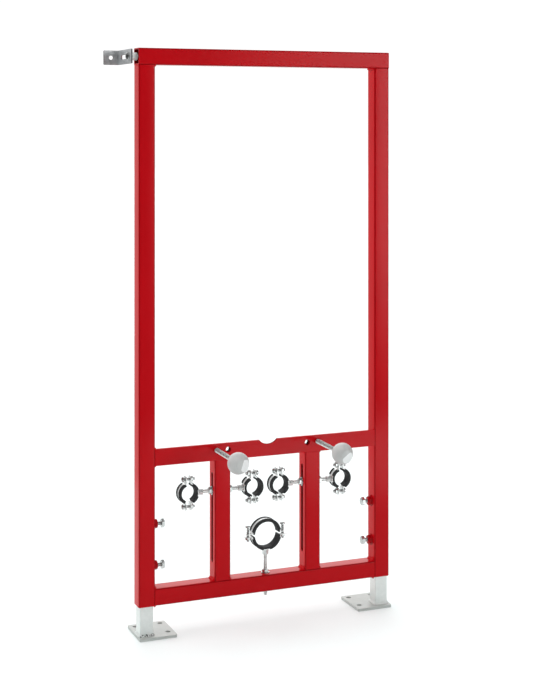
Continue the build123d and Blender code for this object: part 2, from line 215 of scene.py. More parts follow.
def blendColours(tree, factor, places, tones):
    # ramp between two linear colours, from the first place to the second
    ramp = addNode(tree, "ShaderNodeValToRGB")
    for element, place, colour in zip(ramp.color_ramp.elements, places, tones):
        element.position = place
        element.color = (*colour, 1)
    tree.links.new(factor, ramp.inputs["Fac"])
    return ramp.outputs["Color"]


def rescaled(tree, value, low, high):
    # a noise's span, spread over low to high
    spread = addNode(tree, "ShaderNodeMapRange")
    for socket, number in zip(("From Min", "From Max", "To Min", "To Max"), (*noiseSpan, low, high)):
        spread.inputs[socket].default_value = number
    tree.links.new(value, spread.inputs["Value"])
    return spread.outputs["Result"]


def addBump(tree, shader, height, depth):
    bump = addNode(tree, "ShaderNodeBump", Strength=1.0, Distance=depth)
    tree.links.new(height, bump.inputs["Height"])
    tree.links.new(bump.outputs["Normal"], shader.inputs["Normal"])


def mottled(name, grain, tones, roughness, stretch=(1, 1, 1), **sockets):
    # cloudy tone, uneven gloss and fine bumps, each from a noise of its own; gloss and bumps may be stretched
    material, tree, shader = newMaterial(name, **sockets)
    colour = blendColours(tree, objectNoise(tree, *grain["cloud"]), grain.get("places", noiseSpan), tones)
    tree.links.new(colour, shader.inputs["Base Color"])
    gloss = rescaled(tree, objectNoise(tree, *grain["gloss"], stretch), *roughness)
    tree.links.new(gloss, shader.inputs["Roughness"])
    addBump(tree, shader, objectNoise(tree, *grain["bumps"], stretch), grain["depth"])
    return material


paint = {
    "face": ((0.40, 0.0020, 0.0050), (0.44, 0.0028, 0.0066)),
    # the tones after the face's are painted shade: on bends, bevels and the nuts welded on the posts, in the tubes'
    # hollows, and near black in the fixing nuts' bores
    "bend": ((0.27, 0.0014, 0.0034), (0.30, 0.0019, 0.0045)),
    "mouth": ((0.13, 0.0008, 0.0018), (0.16, 0.0010, 0.0024)),
    "bore": ((0.010, 0.004, 0.004), (0.016, 0.006, 0.006)),
    "grain": {"cloud": (7.0, 3.0), "gloss": (55.0, 3.0), "bumps": (620.0, 1.5), "depth": 0.0025 * mm},
    "satin": {"roughness": (0.11, 0.15), "Specular_IOR_Level": 0.08},
    "dull": {"roughness": (0.60, 0.75), "Specular_IOR_Level": 0.0},
}
red = mottled("redPowderPaint", paint["grain"], paint["face"], **paint["satin"])
# painted shade: a darker red for bends, bevels and the nuts welded on the posts
shadeRed = mottled("redPaintedShade", paint["grain"], paint["bend"], **paint["satin"])
# painted shade: a still darker red for the tubes' hollow walls and the rail's end plate
hollowShadeRed = mottled("redHollowPaintedShade", paint["grain"], paint["mouth"], **paint["dull"])
# painted shade: near black for the fixing nuts' bores
boreShadeBlack = mottled("boreShadeBlack", paint["grain"], paint["bore"], **paint["dull"])

galvanising = {
    "leg": ((0.62, 0.655, 0.64), (0.68, 0.71, 0.695)),
    "plate": ((0.37, 0.39, 0.375), (0.43, 0.45, 0.435)),
    "spangle": 150.0, "spangleShare": 0.35, "cloud": (60.0, 5.0), "places": (0.35, 0.9),
    "roughness": (0.38, 0.48), "metallic": 0.3, "bumps": (420.0, 3.0), "depth": 0.006 * mm,
    "soot": (0.012, 0.012, 0.012), "sootGrain": (260.0, 2.0), "sootFrom": 0.53,
}
mixSockets = {"first": 6, "second": 7, "result": 2}  # the colour ones of a Mix node


def galvanisedSteel(name, tones, sootBefore=None):
    # spangle cells over cloudy tone; a weld has burnt specks where Y is below sootBefore
    g = galvanising
    material, tree, shader = newMaterial(name, Metallic=g["metallic"])
    tone = joined(tree, "MULTIPLY_ADD", cells(tree, g["spangle"]), g["spangleShare"], objectNoise(tree, *g["cloud"]))
    colour = blendColours(tree, tone, g["places"], tones)
    if sootBefore is not None:
        where = addNode(tree, "ShaderNodeTexCoord")
        split = addNode(tree, "ShaderNodeSeparateXYZ")
        tree.links.new(where.outputs["Object"], split.inputs["Vector"])
        ahead = joined(tree, "LESS_THAN", split.outputs["Y"], sootBefore)
        speck = joined(tree, "GREATER_THAN", objectNoise(tree, *g["sootGrain"]), g["sootFrom"])
        burnt = addNode(tree, "ShaderNodeMix", data_type="RGBA")
        tree.links.new(joined(tree, "MULTIPLY", ahead, speck), burnt.inputs["Factor"])
        tree.links.new(colour, burnt.inputs[mixSockets["first"]])
        burnt.inputs[mixSockets["second"]].default_value = (*g["soot"], 1)
        colour = burnt.outputs[mixSockets["result"]]
    tree.links.new(colour, shader.inputs["Base Color"])
    tree.links.new(rescaled(tree, tone, *g["roughness"]), shader.inputs["Roughness"])
    addBump(tree, shader, objectNoise(tree, *g["bumps"]), g["depth"])
    return material


galvanised = galvanisedSteel("galvanisedLeg", galvanising["leg"])
galvanisedPlate = galvanisedSteel("galvanisedPlate", galvanising["plate"])

plating = {"cloud": (90.0, 4.0), "gloss": (260.0, 3.0), "bumps": (900.0, 2.0), "depth": 0.006 * mm}
zinc = mottled("brightZinc", plating, ((0.42, 0.43, 0.43), (0.58, 0.59, 0.58)), (0.20, 0.30), Metallic=0.95)
fixingZinc = mottled("paleZinc", plating, ((0.66, 0.67, 0.67), (0.82, 0.83, 0.82)), (0.24, 0.34), Metallic=0.85)
strapZinc = mottled("strapZinc", plating, ((0.58, 0.59, 0.59), (0.74, 0.75, 0.74)), (0.24, 0.34), Metallic=0.85)
# the bracket's strip has drawing marks along its length
bracketZinc = mottled("greyZincStrip", plating, ((0.37, 0.38, 0.39), (0.63, 0.64, 0.65)), (0.32, 0.48), (1, 1, 3),
                      Metallic=0.65)
# painted shade: near-black zinc for the bracket's edges
edgeShadeZinc = mottled("zincEdgePaintedShade", plating, ((0.06, 0.06, 0.065), (0.11, 0.11, 0.12)), (0.35, 0.50), Metallic=0.6)

rubber = {"cloud": (130.0, 4.0), "places": (0.35, 0.75), "gloss": (300.0, 3.0), "bumps": (1600.0, 2.0),
          "depth": 0.02 * mm, "tones": ((0.006, 0.006, 0.007), (0.015, 0.015, 0.016))}
linerRubber = mottled("blackRubber", rubber, rubber["tones"], (0.50, 0.68), Specular_IOR_Level=0.32)

plastic = {"cloud": (45.0, 3.0), "gloss": (170.0, 3.0), "bumps": (1100.0, 2.0), "depth": 0.006 * mm,
           "ball": ((0.385, 0.385, 0.38), (0.435, 0.435, 0.43)), "grip": ((0.64, 0.64, 0.64), (0.70, 0.70, 0.70)),
           "satin": {"roughness": (0.34, 0.44), "Specular_IOR_Level": 0.5}}
ballPlastic = mottled("greyCapPlastic", plastic, plastic["ball"], **plastic["satin"])
# the grip tone is paler than the ball's: a painted highlight on the grip flat
gripHighlightPlastic = mottled("gripPaintedHighlight", plastic, plastic["grip"], **plastic["satin"])
print("finishes ready")


# Hexagons: each flat runs up to a cone, so its ends are arched as on a turned nut

hexShape = {
    "face": 0.475,  # radius of the end face, over the width over flats
    "slope": 30.0, "columns": 72,
}


def hexRim(acrossFlats, angle):
    # radius of a hexagon at an angle: half the width over flats, over the cosine from the flat's middle
    return acrossFlats / 2 / np.cos(np.mod(angle, turn / 6) - turn / 12)


def hexSolid(acrossFlats, low, high, bore=0.0, chamferLow=True):
    # rows from the bore out over the low end, up the flats and back to the bore over the high end
    angle = np.linspace(0, turn, hexShape["columns"], endpoint=False)
    rim = hexRim(acrossFlats, angle)
    face = hexShape["face"] * acrossFlats
    drop = (rim - face) * math.tan(math.radians(hexShape["slope"]))
    level = np.ones(len(angle))
    rows = [(bore * level, low * level), ((face if chamferLow else rim) * level, low * level),
            (rim, low + drop * chamferLow), (rim, high - drop),
            (face * level, high * level), (bore * level, high * level)]
    if bore:
        rows.append(rows[0])
    radius, height = (np.stack(part) for part in zip(*rows))
    return np.stack([radius * np.cos(angle), radius * np.sin(angle), height], -1)


# Threads: four helices to a turn carry the crest and the root, so the grid winds with the thread

# shares of the pitch: the depth, where crest, fall and root end along a turn, and the lead-in at the bar's ends
thread = {"depth": 0.61, "crest": 0.14, "fall": 0.45, "root": 0.69, "lead": 0.7, "columns": 22}


def threadedBar(radius, pitch, length):
    # height = pitch x (turn number + share of the turn + angle / 360), radius by the share: crest, crest, root, root
    shares = np.array([0, thread["crest"], thread["fall"], thread["root"]])
    levels = np.array([0, 0, -1, -1]) * thread["depth"] * pitch
    turns = np.arange(-1, math.ceil(length / pitch) + 1)
    along = (turns[:, None] + shares).reshape(-1, 1)
    angle = np.linspace(0, turn, thread["columns"] + 1)
    height = np.clip(pitch * (along + angle / turn), 0, length)
    ends = np.minimum(height, length - height)
    radius = np.minimum(radius + np.tile(levels, len(turns))[:, None], radius - thread["lead"] * pitch + ends)
    grid = np.stack([radius * np.cos(angle), radius * np.sin(angle), height], -1)
    poles = np.zeros((2, 1, thread["columns"] + 1, 3))
    poles[1, ..., 2] = length
    return np.concatenate([poles[0], grid, poles[1]])


def barFrom(node, axis, pitch, longer=0.0):
    # threaded bar that fills a rod's box, started from its low end or a little before it
    low, high = boxOf(node)
    k = int(np.argmax(axis))
    low[k] -= longer
    radius, length = (high - low)[k - 1] / 2, (high - low)[k]
    return gridSurface(carried(threadedBar(radius, pitch, length), boxEnd(low, high, k), axis), closed=False)


rods = {"pitchM10": 1.5 * mm, "pitchM8": 1.25 * mm, "wasteTail": 6 * mm}
for side in sides:
    makePiece(f"{side}FixingThread", [barFrom(f"{side}_fixing_rod", alongY, rods["pitchM10"])], fixingZinc, "frame",
              [f"{side}_fixing_rod"])
    makePiece(f"{side}ClampThread", [barFrom(f"{side}_clamp_rod", alongX, rods["pitchM8"])], strapZinc,
              f"{side}_clamps", [f"{side}_clamp_rod"])
makePiece("wasteThread", [barFrom("waste_clamp_rod", alongZ, rods["pitchM8"], rods["wasteTail"])], strapZinc, "frame",
          ["waste_clamp_rod"])
print("threaded rods cut")


# Nuts on washers, standing on the tube's face

washerNut = {"washer": 18 * mm, "washerThickness": 1.6 * mm, "nut": 13 * mm, "bore": 8.2 * mm, "edge": 0.3 * mm}


def nutOnWasher(origin, axis, height):
    # washer with broken edges and a nut on it, together as high as height
    w, t, e = washerNut["washer"] / 2, washerNut["washerThickness"], washerNut["edge"]
    b = washerNut["bore"] / 2
    disc = revolved([(b, 0), (w - e, 0), (w, e), (w, t - e), (w - e, t), (b, t), (b, 0)])
    nut = hexSolid(washerNut["nut"], t, height, b)
    return [gridSurface(carried(part, origin, axis)) for part in (disc, nut)]


for side in sides:
    surfaces = []
    stileMiddle = sum(boxOf(f"{side}_stile"))[0] / 2
    for low, high in solidBoxes(f"{side}_rod_nuts", 0):
        away = 1 if low[0] > stileMiddle else -1
        surfaces += nutOnWasher(boxEnd(low, high, 0, away), away * alongX, high[0] - low[0])
    makePiece(f"{side}ClampNuts", surfaces, zinc, f"{side}_clamps", [f"{side}_rod_nuts"])

low, high = boxOf("waste_rod_nut")
surfaces = nutOnWasher(boxEnd(low, high, 2), alongZ, high[2] - low[2])
makePiece("wasteNut", surfaces, zinc, "frame", ["waste_rod_nut"])


# Welds: a bead in the corner between two faces, with the ripples of the pool

weld = {"ripple": 2.2 * mm, "rippleDepth": 0.10, "rippleRows": 5, "lag": 0.5, "hollow": 0.14, "sink": 0.25 * mm,
        "columns": 9}


def weldBead(path, out, up, leg, closed=False):
    # path of corner points; each row runs from leg x out round to leg x up and back through the corner;
    # reach = leg, less a hollow in the row's middle, less a dent between ripples, which lag in the middle;
    # a closed bead has a whole number of ripples, so its ends meet
    out, up = (np.broadcast_to(way, path.shape) for way in (out, up))
    steps = np.linalg.norm(np.diff(path, axis=0), axis=1)
    distance = np.concatenate([[0], np.cumsum(steps)])[:, None]
    ripples = distance[-1] / weld["ripple"]
    if closed:
        ripples = np.round(ripples)
    angle = np.linspace(0, turn / 4, weld["columns"])
    wave = np.abs(np.sin(math.pi * (ripples * distance / distance[-1] - weld["lag"] * np.sin(2 * angle))))
    bulge = 1 - weld["hollow"] * (1 - np.abs(np.cos(2 * angle)))
    reach = leg * bulge * (1 - weld["rippleDepth"] * (1 - wave))
    if not closed:
        # each end is rounded off by a quarter circle as long as the leg
        fade = np.clip(np.minimum(distance, distance[-1] - distance) / leg, 0, 1)
        reach = reach * np.sqrt(2 * fade - fade**2)
    rows = np.cos(angle)[:, None] * out[:, None] + np.sin(angle)[:, None] * up[:, None]
    bead = path[:, None] + reach[..., None] * rows
    inner = path[:, None] - weld["sink"] * (out + up)[:, None]
    return gridSurface(np.concatenate([bead, inner], 1))


def straightWeld(start, end, out, up, leg):
    count = int(np.linalg.norm(np.subtract(end, start)) / weld["ripple"] * weld["rippleRows"]) + 2
    share = np.linspace(0, 1, count)[:, None]
    return weldBead(np.asarray(start) * (1 - share) + np.asarray(end) * share, out, up, leg)


frameWeld = {"leg": 4.5 * mm, "plateLeg": 3.0 * mm, "margin": 3 * mm}
railLow, railHigh = boxOf("bottom_rail")
topLow = boxOf("top_rail")[0]
plateLow, plateHigh = boxOf("cross_plate")
front, back = railLow[1] + frameWeld["margin"], railHigh[1] - frameWeld["margin"]
ahead, behind = plateLow[1], plateHigh[1]
beads = []
for side, way in sides.items():
    inner = boxOf(f"{side}_post")[way < 0][0]
    inward = -way * alongX
    for z, up in ((railHigh[2], alongZ), (railLow[2], -alongZ), (topLow[2], -alongZ)):
        beads.append(straightWeld((inner, front, z), (inner, back, z), inward, up, frameWeld["leg"]))
    beads.append(straightWeld((inner, behind, plateLow[2]), (inner, behind, plateHigh[2]), inward, alongY,
                              frameWeld["leg"]))
    for z, up in ((plateLow[2], -alongZ), (plateHigh[2], alongZ)):
        beads.append(straightWeld((inner, ahead, z), (inner, behind, z), inward, up, frameWeld["plateLeg"]))
    stileLow, stileHigh = boxOf(f"{side}_stile")
    foot, top = railHigh[2], stileHigh[2]
    for x, outward in ((stileLow[0], -alongX), (stileHigh[0], alongX)):
        beads.append(straightWeld((x, front, foot), (x, back, foot), outward, alongZ, frameWeld["leg"]))
        beads.append(straightWeld((x, ahead, top), (x, behind, top), outward, -alongZ, frameWeld["plateLeg"]))
makePiece("frameWelds", beads, red, "frame")


legWeld = {"leg": 4.0 * mm, "corner": 2.0 * mm, "cornerSteps": 9, "sideSteps": 70, "burntAhead": 0.3 * mm}


def squarePath(low, high, corner, z):
    # rounded square outline with its outward direction at each point
    centres = np.array([(high[0] - corner, high[1] - corner), (low[0] + corner, high[1] - corner),
                        (low[0] + corner, low[1] + corner), (high[0] - corner, low[1] + corner)])
    along = np.linspace(0, 1, legWeld["sideSteps"])[1:-1, None]
    points, out = [], []
    for k, centre in enumerate(centres):
        angle = np.radians(np.linspace(90 * k, 90 * k + 90, legWeld["cornerSteps"]))
        ways = np.stack([np.cos(angle), np.sin(angle)], -1)
        nextCentre = centres[(k + 1) % 4]
        points += [centre + corner * ways, (centre * (1 - along) + nextCentre * along) + corner * ways[-1]]
        out += [ways, np.repeat(ways[-1:], len(along), 0)]
    points, out = (np.concatenate([*parts, parts[0][:1]]) for parts in (points, out))
    level = np.full((len(points), 1), z)
    return np.hstack([points, level]), np.hstack([out, 0 * level])


for side in sides:
    low, high = boxOf(f"{side}_leg_tube")
    bead = weldBead(*squarePath(low, high, legWeld["corner"], low[2]), alongZ, legWeld["leg"], closed=True)
    finish = galvanised
    if side == "left":
        finish = galvanisedSteel("burntWeld", galvanising["leg"], low[1] - legWeld["burntAhead"])
    makePiece(f"{side}LegWeld", [bead], finish, f"{side}_leg")
print("welds laid")


# Screws that clamp the legs, with the hex nuts welded on the posts

legScrew = {"hex": 16 * mm, "head": 6 * mm, "pitch": 1.25 * mm, "shank": 8 * mm, "boss": 17 * mm,
            "bossBore": 8.2 * mm, "bossWeld": 3 * mm, "weldSteps": 180}


def hexScrew(low, high, away):
    # screw along X whose head is at its outer end
    start, axis = boxEnd(low, high, 0, away), away * alongX
    length = high[0] - low[0]
    shank = threadedBar(legScrew["shank"] / 2, legScrew["pitch"], length - legScrew["head"] / 2)
    head = hexSolid(legScrew["hex"], length - legScrew["head"], length, chamferLow=False)
    return [gridSurface(carried(shank, start, axis), closed=False), gridSurface(carried(head, start, axis))]


def weldedNut(low, high, away):
    # nut along X with a bead round its foot
    start, axis = boxEnd(low, high, 0, away), away * alongX
    nut = hexSolid(legScrew["boss"], 0, high[0] - low[0], legScrew["bossBore"] / 2, chamferLow=False)
    angle, ring = ringWays(legScrew["weldSteps"])
    path = hexRim(legScrew["boss"], angle)[:, None] * ring
    points, faces = weldBead(path, ring, alongZ, legScrew["bossWeld"], closed=True)
    return [gridSurface(carried(nut, start, axis)), (carried(points, start, axis), faces)]


for side, way in sides.items():
    screws, nuts = [], []
    for low, high in solidBoxes(f"{side}_leg_screws", 2):
        screws += hexScrew(low, high, -way)
    for low, high in solidBoxes(f"{side}_screw_bosses", 2):
        nuts += weldedNut(low, high, -way)
    makePiece(f"{side}LegScrews", screws, zinc, "frame", [f"{side}_leg_screws"])
    # the welded nuts take the darker red: painted shade
    makePiece(f"{side}LegNuts", nuts, shadeRed, "frame", [f"{side}_screw_bosses"])


# Weld nuts behind the cross plate

fixingNut = {"hex": 22 * mm, "bore": 10.2 * mm, "boreReach": 1.02}  # the reach is of the bore's radius
nutSurfaces, nutMiddles = [], []
for low, high in solidBoxes("fixing_nuts", 0):
    start = boxEnd(low, high, 1)
    nut = hexSolid(fixingNut["hex"], 0, high[1] - low[1], fixingNut["bore"] / 2, chamferLow=False)
    nutSurfaces.append(gridSurface(carried(nut, start, alongY, alongZ)))
    nutMiddles.append(start[::2])
nuts = makePiece("fixingWeldNuts", nutSurfaces, red, "frame", ["fixing_nuts"])
# the bores take a near-black finish in place of the paint: painted shade in the deep threaded holes
nuts.data.materials.append(boreShadeBlack)
fromMiddles = faceArray(nuts.data, "center")[:, None, ::2] - nutMiddles
setFinishes(nuts.data, np.linalg.norm(fromMiddles, axis=2).min(1) < fixingNut["boreReach"] * fixingNut["bore"] / 2)
print("screws and nuts turned")


# Ball caps: a ball with a flat on its nose, a slanted grip flat beside it and a filleted collar round the rod

ballCap = {
    "collar": 9 * mm, "collarLength": 4 * mm, "bore": 5.1 * mm, "flat": 10 * mm, "edge": 0.8 * mm, "fillet": 1.2 * mm,
    "noseSteps": 15, "ballSteps": 90, "edgeSteps": 5, "columns": 120, "crease": 14,
    "grip": {"left": (0.466, -0.87, -0.14), "right": (0.25, -0.90, -0.34)},  # the way each grip flat faces
    "gripDepth": 0.81,  # of the ball's radius
    "gripSlack": 0.02 * mm,
}
for side in sides:
    low, high = boxOf(f"{side}_rod_cap")
    ball = (high - low)[0] / 2
    centre = (low + high) / 2
    centre[1] = high[1] - ballCap["collarLength"] - ball
    c, e, b = ballCap["collar"], ballCap["edge"], ballCap["bore"]
    noseAngle = math.degrees(math.asin(ballCap["flat"] / ball))
    neckAngle = math.degrees(math.asin((c + e) / ball))
    nose = np.linspace(0, 1, ballCap["noseSteps"], endpoint=False)[:, None] * (ballCap["flat"], 0)
    nose = nose - (0, ball * math.cos(math.radians(noseAngle)))
    body = arcPoints((0, 0), ball, -90 + noseAngle, 90 - neckAngle, ballCap["ballSteps"])
    end = ball + ballCap["collarLength"]
    profile = np.concatenate([nose, body, [(c, body[-1, 1] + ballCap["fillet"]), (c, end - e)],
                              arcPoints((c - e, end - e), e, 0, 90, ballCap["edgeSteps"]),
                              [(b, end), (b, 0), (0, 0)]])
    points = carried(revolved(profile, ballCap["columns"]), (0, 0, 0), alongY)
    # points past the grip's plane are drawn back to it along their own radius
    facing = np.array(ballCap["grip"][side]) / np.linalg.norm(ballCap["grip"][side])
    depth = ballCap["gripDepth"] * ball
    points = points * (depth / np.maximum(points @ facing, depth))[..., None]
    cap = makePiece(f"{side}BallCap", [gridSurface(centre + points)], ballPlastic, "frame",
                    [f"{side}_rod_cap"], ballCap["crease"])
    # the grip flat takes the paler plastic: a painted highlight
    cap.data.materials.append(gripHighlightPlastic)
    setFinishes(cap.data, (faceArray(cap.data, "center") - centre) @ facing > depth - ballCap["gripSlack"])
print("ball caps turned")


# Pipe clamps: two strap halves, a rubber channel with ribs, ear screws and the boss that takes the rod

clampSizes = {
    "strap": 1.5 * mm, "strapEdge": 0.35 * mm, "bend": 2.0 * mm, "earLength": 14.5 * mm, "earCorner": 5 * mm,
    "earSteps": 10, "bendSteps": 9, "ringSteps": 61, "edgeSteps": 4,
    "liner": 3.8 * mm, "lip": 1.1 * mm, "hook": 3.2 * mm, "play": 0.1 * mm, "ribs": 5, "ribDepth": 0.45 * mm,
    "ribSteps": 8, "rim": 0.5 * mm, "linerSteps": 81, "linerCrease": 50,
    "screw": 6 * mm, "screwPitch": 1.0 * mm, "screwHead": 11 * mm, "headHeight": 4 * mm,
    "nut": 10 * mm, "nutHeight": 5 * mm, "tail": 4 * mm,
    "boss": 12 * mm, "bossRoom": 8 * mm, "bossWeld": 0.8 * mm, "weldSteps": 120,
    "weldFit": 1.04,  # of half the boss's width
}
# how far the halves stand apart, and the screw left under its head
supplyClamp = {"split": 9 * mm, "headGap": 4 * mm}
wasteClamp = {"split": 5 * mm, "headGap": 13 * mm}
# how far the rubber stays back from the split, at the low and the high end of the ears' axis
rubberBare = {
    "leftOuter": (3.7 * mm, 1.6 * mm), "leftInner": (0.0, 2.7 * mm), "rightInner": (-0.5 * mm, 1.6 * mm),
    "rightOuter": (2.7 * mm, 1.1 * mm), "waste": (0.5 * mm, 0.5 * mm),
}


def strapPath(ring, earTip, split):
    # down the ear, round the bend, along the ring and out at the other ear; with the side that faces away
    c = clampSizes
    ear = split / 2 + c["strap"] / 2
    bend = c["bend"] + c["strap"] / 2
    rise = math.sqrt((ring + bend) ** 2 - (ear + bend) ** 2)
    meet = math.degrees(math.atan2(rise, ear + bend))
    tip = 1 - np.cos(np.linspace(0, turn / 4, c["earSteps"]))
    down = np.minimum(tip * c["earCorner"], earTip - rise)
    ears = np.stack([np.full(c["earSteps"], ear), earTip - down], -1)
    elbow = arcPoints((ear + bend, rise), bend, 180, 180 + meet, c["bendSteps"])
    arc = arcPoints((0, 0), ring, meet, -meet, c["ringSteps"])[1:-1]
    points = np.concatenate([ears, elbow, arc, (elbow * (1, -1))[::-1], (ears * (1, -1))[::-1]])
    flat = np.tile((1.0, 0.0), (c["earSteps"], 1))
    inward = ((ear + bend, rise) - elbow) / bend
    away = np.concatenate([flat, inward, arc / ring, (inward * (1, -1))[::-1], flat])
    return points, away


def strapSurface(ring, earTip, width, split):
    # rounded strip section carried along the path, narrowed by a quarter circle at each ear's tip
    c = clampSizes
    points, away = strapPath(ring, earTip, split)
    half, thick, edge = width / 2, c["strap"] / 2, c["strapEdge"]
    section = np.concatenate([arcPoints((x, y), edge, start, start + 90, c["edgeSteps"]) for x, y, start in (
        (thick - edge, half - edge, 0), (edge - thick, half - edge, 90),
        (edge - thick, edge - half, 180), (thick - edge, edge - half, 270))])
    left = np.clip(1 - (earTip - np.abs(points[:, 1])) / c["earCorner"], 0, 1)
    narrow = 1 - c["earCorner"] / half * (1 - np.sqrt(1 - left**2))
    across = points[:, None] + section[None, :, :1] * away[:, None]
    rows = np.stack([across[..., 0], section[None, :, 1] * narrow[:, None], across[..., 1]], -1)
    ends = np.stack([points[:, 0], 0 * points[:, 0], points[:, 1]], -1)[[0, -1], None].repeat(len(section), 1)
    return np.concatenate([ends[:1], rows, ends[1:]])


def linerSurface(bore, strapWidth, linerWidth, split, bare, room):
    # C-shaped section carried round half the ring: ribbed inside, lips over the strap's edges that end at the ears
    # and leave room for the boss
    c = clampSizes
    inner = bore + c["liner"] - c["play"]
    seat = bore + c["liner"] + c["strap"] + c["play"]
    tip = seat + c["lip"]
    half, strapHalf, hook = linerWidth / 2, strapWidth / 2 + c["play"], strapWidth / 2 - c["hook"]
    r, steps = c["rim"], c["edgeSteps"]
    across = np.linspace(-half + r, half - r, c["ribSteps"] * c["ribs"] + 1)
    groove = c["ribDepth"] * (0.5 - 0.5 * np.cos(turn * c["ribs"] * (across + half) / linerWidth))
    inside = np.stack([bore + groove, across], -1)
    upper = np.concatenate([arcPoints((bore + r, half - r), r, 180, 90, steps),
                            arcPoints((tip - r, half - r), r, 90, 0, steps),
                            arcPoints((tip - r, hook + r), r, 0, -90, steps),
                            [(seat, hook), (seat, strapHalf), (inner, strapHalf)]])
    section = np.concatenate([inside, upper, (upper * (1, -1))[::-1]])
    lowEnd, highEnd = np.arccos((split / 2 + np.array(bare)) / inner)
    angle = np.linspace(-lowEnd, highEnd, c["linerSteps"])
    lipStart = split / 2 + c["strap"] + c["bend"] + c["lip"]
    fade = np.clip((np.cos(angle) * tip - lipStart) / c["lip"], 0, 1)
    fade = (fade * np.clip((np.abs(np.sin(angle)) * tip - room) / c["lip"] + 1, 0, 1))[:, None]
    radius = np.where(section[:, 0] > inner, inner + (section[:, 0] - inner) * fade, section[:, 0])
    rows = np.stack([radius * np.cos(angle)[:, None], np.tile(section[:, 1], (len(angle), 1)),
                     radius * np.sin(angle)[:, None]], -1)
    middle, last = (bore + inner) / 2, angle[[0, -1]]
    caps = np.stack([middle * np.cos(last), 0 * last, middle * np.sin(last)], -1)[:, None].repeat(len(section), 1)
    return np.concatenate([caps[:1], rows, caps[1:]])


panShape = {
    "rim": 0.35,    # of the head's height
    "crown": 0.12,  # angle from the axis where the dome ends
    "socket": ((0.30, 0.96), (0.24, 0.45), (0, 0.40)),  # of the head's radius and height
    "steps": 9, "columns": 32,
}


def panHead(radius, height):
    # upright rim under a dome of quarter circles, with a round socket in the crown
    sweep = np.linspace(turn / 4, panShape["crown"], panShape["steps"])
    rise = panShape["rim"] + (1 - panShape["rim"]) * np.cos(sweep)
    outline = [(1, 0), *np.stack([np.sin(sweep), rise], -1), *panShape["socket"]]
    return revolved([(0, 0), *np.array(outline) * (radius, height)], panShape["columns"])


def clampPieces(label, base, cap, liner, body, split, headGap):
    # one clamp, worked out in its own axes: u to the boss, v along the pipe, w along the ears
    c = clampSizes
    linerLow, linerHigh = boxOf(liner)
    baseLow, baseHigh = boxOf(base)
    centre = (linerLow + linerHigh) / 2
    reach = (baseLow + baseHigh) / 2 - centre
    k = int(np.argmax(np.abs(reach)))
    toBoss = np.sign(reach[k]) * np.eye(3)[k]
    alongEars = alongX if k == 2 else alongZ
    earAxis = int(np.argmax(alongEars))
    tip = (linerHigh - linerLow)[k] / 2
    bore = tip - c["lip"] - c["play"] - c["strap"] - c["liner"]
    strapWidth, linerWidth = (baseHigh - baseLow)[1], (linerHigh - linerLow)[1]
    earTip = (baseHigh - baseLow)[earAxis] / 2
    ring = bore + c["liner"] + c["strap"] / 2

    def placed(points, way=1):
        return centre + way * points[..., :1] * toBoss + points[..., 1:2] * alongY + points[..., 2:] * alongEars

    def bossPlaced(points):
        return centre + points[..., 2:] * toBoss + points[..., :1] * alongY + points[..., 1:2] * alongEars

    strap = strapSurface(ring, earTip, strapWidth, split)
    bossEnd = abs(((baseHigh if toBoss[k] > 0 else baseLow) - centre)[k])
    boss = hexSolid(c["boss"], ring - c["strap"] / 2, bossEnd, chamferLow=False)
    # the weld's foot follows the strap, which drops away from the crown on both sides
    angle, around = ringWays(c["weldSteps"])
    rim = c["boss"] / 2 * c["weldFit"]
    foot = np.sqrt((ring + c["strap"] / 2) ** 2 - (rim * np.sin(angle)) ** 2)
    points, faces = weldBead(around * rim + foot[:, None] * alongZ, around, alongZ, c["bossWeld"], closed=True)
    surfaces = [gridSurface(placed(strap)), gridSurface(bossPlaced(boss)), (bossPlaced(points), faces)]
    makePiece(f"{label}ClampBase", surfaces, strapZinc, body, [base])
    makePiece(f"{label}ClampCap", [gridSurface(placed(strap, -1))], strapZinc, body, [cap])
    halves = [placed(linerSurface(bore, strapWidth, linerWidth, split, rubberBare[label], room), way)
              for way, room in ((1, c["bossRoom"]), (-1, 0))]
    makePiece(f"{label}ClampLiner", [gridSurface(half) for half in halves], linerRubber, body, [liner],
              c["linerCrease"])
    ear = split / 2 + c["strap"]
    earMiddle = ring + c["strap"] / 2 + c["earLength"] / 2
    head = panHead(c["screwHead"] / 2, c["headHeight"])
    nut = hexSolid(c["nut"], ear, ear + c["nutHeight"])
    shank = threadedBar(c["screw"] / 2, c["screwPitch"], headGap + 2 * ear + c["nutHeight"] + c["tail"])
    screws = []
    for way in (-1, 1):
        origin = centre + way * earMiddle * alongEars
        under = origin - (ear + headGap) * toBoss
        screws += [gridSurface(carried(head, under, -toBoss)), gridSurface(carried(nut, origin, toBoss)),
                   gridSurface(carried(shank, under, toBoss), closed=False)]
    return screws


for side in sides:
    screws = []
    for place in ("outer", "inner"):
        nodes = [f"{side}_{place}_clamp_{part}" for part in ("base", "cap", "liner")]
        screws += clampPieces(f"{side}{place.title()}", *nodes, f"{side}_clamps", **supplyClamp)
    makePiece(f"{side}ClampScrews", screws, zinc, f"{side}_clamps", [f"{side}_clamp_screws"])
screws = clampPieces("waste", "waste_clamp_base", "waste_clamp_cap", "waste_clamp_liner", "frame", **wasteClamp)
makePiece("wasteClampScrews", screws, zinc, "frame", ["waste_clamp_screws"])
print("pipe clamps bent and lined")


# Wall bracket's bolt and lock nut

